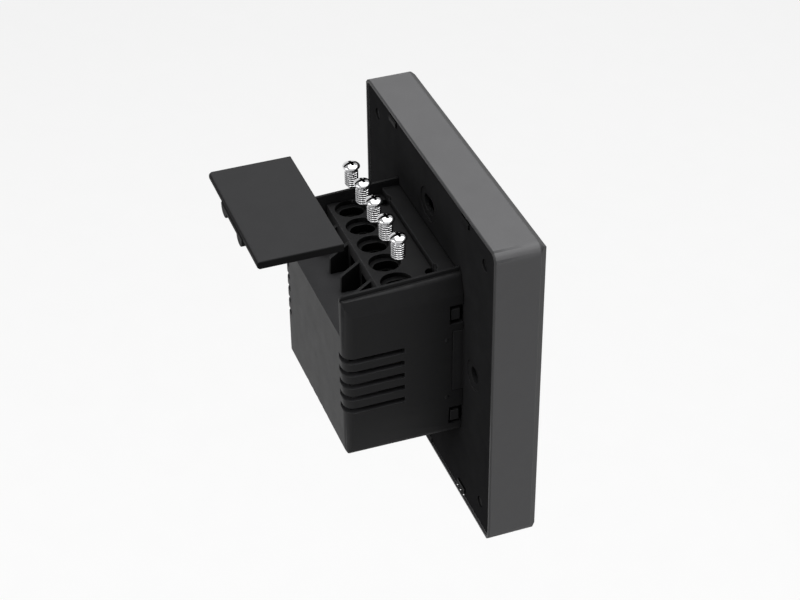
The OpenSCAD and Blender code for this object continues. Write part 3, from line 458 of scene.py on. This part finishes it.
# Terminal screws with a rounded head, a combined recess and a helical thread, in mm, from the head's peak
SCREW_SIDES = 64
THREAD_PITCH = 0.6
THREAD_ROWS = 12
THREAD_R = 1.72
CORE_R = 1.36
NECK_R = 1.3
NECK_LOW = -2.2
THREAD_END = 0.35
RIDGE_TOP = 1.25
RIDGE_SLOPE = 2.9
TIP_R = 1.05
RUN_OUT = 0.3
HEAD_LINE = [(0.35, -0.018), (0.7, -0.07), (1.05, -0.16), (1.4, -0.29), (1.7, -0.44), (1.93, -0.60),
             (2.08, -0.76), (2.17, -0.92), (2.195, -1.05), (2.15, -1.17), (2.02, -1.30), (1.82, -1.46),
             (1.60, -1.62), (1.42, -1.74), (1.32, -1.86)]
HEAD_RIM = max(HEAD_LINE)
SLOT_TURN = math.radians(98)
# Bars of the recess: length at the top and at the floor, width at the top and at the floor, depth, turn
SLOT_BAR = (4.8, 4.8, 0.70, 0.50, 0.70)
CROSS_BAR = (3.0, 3.0 * 0.30, 1.00, 0.16, 1.45)
RECESS_BARS = [(*SLOT_BAR, SLOT_TURN), (*CROSS_BAR, SLOT_TURN), (*CROSS_BAR, SLOT_TURN + math.pi / 2)]
CUTTER_TOP = 0.5
CUTTER_STEP = 0.01
# Faces between these depths, below the round top and below the peak, count as the recess and get its painted
# shade
RECESS_SINK = 0.03
RECESS_LOW = 1.7


def thread_radius(angle, z, low):
    """Ridge of the thread at one point, running out at both ends."""
    phase = (z / THREAD_PITCH + angle / (2 * math.pi)) % 1.0
    ridge = max(0.0, min(1.0, RIDGE_TOP - RIDGE_SLOPE * abs(phase - 0.5)))
    inside = min((NECK_LOW - z) / RUN_OUT, (z - low) / RUN_OUT, 1.0)
    return NECK_R + (CORE_R - NECK_R) * min(1, inside * 2) + (THREAD_R - CORE_R) * ridge * max(0.0, inside)


def screw_mesh(length):
    """Closed mesh of a terminal screw before its recess is cut, head up."""
    made = bmesh.new()
    rows = [[(r, z)] * SCREW_SIDES for r, z in HEAD_LINE]
    thread_low = THREAD_END - length
    steps = int(round((NECK_LOW - thread_low) / THREAD_PITCH * THREAD_ROWS))
    angles = [2 * math.pi * i / SCREW_SIDES for i in range(SCREW_SIDES)]
    for step in range(steps + 1):
        z = NECK_LOW + (thread_low - NECK_LOW) * step / steps
        rows.append([(thread_radius(a, z, thread_low), z) for a in angles])
    rows.append([(TIP_R, -length)] * SCREW_SIDES)
    rings = [[made.verts.new(((r * math.cos(a)) * MM, (r * math.sin(a)) * MM, z * MM))
              for (r, z), a in zip(row, angles)] for row in rows]
    peak = made.verts.new((0, 0, 0))
    foot = made.verts.new((0, 0, -length * MM))
    for i in range(SCREW_SIDES):
        j = (i + 1) % SCREW_SIDES
        made.faces.new((peak, rings[0][i], rings[0][j]))
        for upper, lower in zip(rings, rings[1:]):
            made.faces.new((upper[i], lower[i], lower[j], upper[j]))
        made.faces.new((foot, rings[-1][j], rings[-1][i]))
    bmesh.ops.recalc_face_normals(made, faces=made.faces)
    mesh = bpy.data.meshes.new("screw")
    made.to_mesh(mesh)
    made.free()
    return mesh


def recess_mesh():
    """Cutter for one head: a long shallow slot and a tapered cross."""
    made = bmesh.new()
    signs = ((-1, -1), (1, -1), (1, 1), (-1, 1))
    for number, (long, floor_long, wide, floor_wide, deep, angle) in enumerate(RECESS_BARS):
        lift = CUTTER_TOP + CUTTER_STEP * number
        corners = [(sx * long / 2, sy * wide / 2, lift) for sx, sy in signs]
        corners += [(sx * floor_long / 2, sy * floor_wide / 2, -deep) for sx, sy in signs]
        spin = Matrix.Rotation(angle, 4, "Z")
        v = [made.verts.new(spin @ (Vector(c) * MM)) for c in corners]
        for face in ((0, 1, 2, 3), (7, 6, 5, 4), (0, 4, 5, 1), (1, 5, 6, 2), (2, 6, 7, 3), (3, 7, 4, 0)):
            made.faces.new([v[i] for i in face])
    bmesh.ops.recalc_face_normals(made, faces=made.faces)
    mesh = bpy.data.meshes.new("recess")
    made.to_mesh(mesh)
    made.free()
    return mesh


def head_height(radius):
    """Height of the head's round top at one radius, in mm."""
    for (r0, z0), (r1, z1) in zip([(0.0, 0.0)] + HEAD_LINE, HEAD_LINE):
        if radius <= r1:
            return z0 + (z1 - z0) * (radius - r0) / (r1 - r0)
    return HEAD_RIM[1]


def mark_recess(mesh):
    """Marks the faces that lie below the round top and face upwards, for the painted shade of the recess."""
    mark = mesh.attributes.new(RECESS, "FLOAT", "FACE")
    for face in mesh.polygons:
        x, y, z = (c / MM for c in face.center)
        inside = head_height(math.hypot(x, y)) - RECESS_SINK > z > -RECESS_LOW and face.normal.z > 0
        mark.data[face.index].value = 1.0 if inside else 0.0


def add_screw(number):
    """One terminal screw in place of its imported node."""
    node = f"terminal_screw_{number}"
    low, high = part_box(node)
    piece = bpy.data.objects.new(node + "_fine", screw_mesh((high.z - low.z) / MM))
    cutter = bpy.data.objects.new("recess", recess_mesh())
    for thing in (piece, cutter):
        bpy.context.scene.collection.objects.link(thing)
    cut = piece.modifiers.new("recess", "BOOLEAN")
    cut.operation, cut.object, cut.solver, cut.use_self = "DIFFERENCE", cutter, "EXACT", True
    graph = bpy.context.evaluated_depsgraph_get()
    shaped = bpy.data.meshes.new_from_object(piece.evaluated_get(graph))
    piece.modifiers.clear()
    bpy.data.objects.remove(cutter)
    piece.data = shaped
    mark_recess(shaped)
    shaped.transform(Matrix.Translation(((low.x + high.x) / 2, (low.y + high.y) / 2, high.z)))
    shaped.polygons.foreach_set("use_smooth", [True] * len(shaped.polygons))
    shaped.set_sharp_from_angle(angle=SMOOTH_BELOW)
    dress(piece, "screw_chrome")
    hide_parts(node)
    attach(piece, f"screw_{number}")


add_camera()
add_world()
add_floor()
add_lamp("key", **KEY)
add_lamp("soft_fill", **SOFT_FILL)
for node_name, node_object in frame["nodes"].items():
    dress(node_object, node_slots[node_name])
add_softened()
for screw_number in range(1, 6):
    add_screw(screw_number)

bpy.context.scene.view_settings.view_transform = "Standard"
